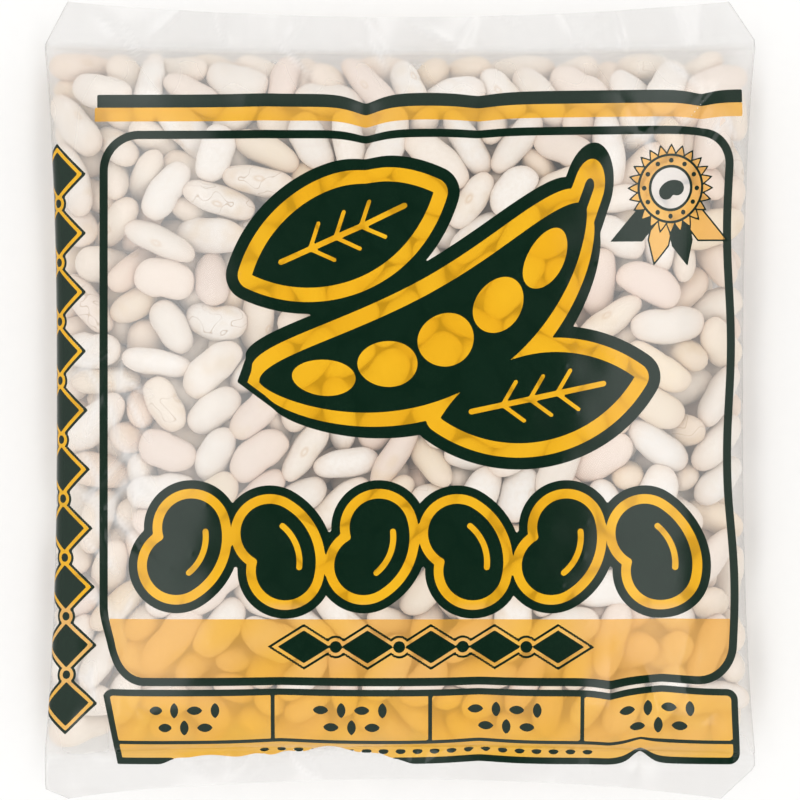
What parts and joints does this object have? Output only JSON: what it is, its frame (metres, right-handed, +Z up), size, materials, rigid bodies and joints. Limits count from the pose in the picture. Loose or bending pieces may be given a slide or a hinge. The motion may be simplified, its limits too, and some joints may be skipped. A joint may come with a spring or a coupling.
{
  "type": "bag of white beans",
  "caption": "Clear film pillow bag filled with dried white beans, sealed flat across both ends, lying on its back.",
  "frame": {"origin": "on the ground, under the middle of the bag", "axes": "+Z up out of the shown side, +Y along the bag towards the top seal, +X across it to the right of the shown side"},
  "size_m": [0.18, 0.202, 0.027],
  "materials": {
    "filled_film": "clear glossy film over cream white beans",
    "clear_film": "clear, glossy, slightly hazy at the seals",
    "beans": "smooth dry seed coat with a slight gloss",
    "print_green": "dark green ink under glossy film",
    "print_yellow": "warm yellow ink under glossy film",
    "print_cream": "cream ink under glossy film"
  },
  "bodies": {
    "root": {"bag": "filled_film"}
  },
  "joints": []
}
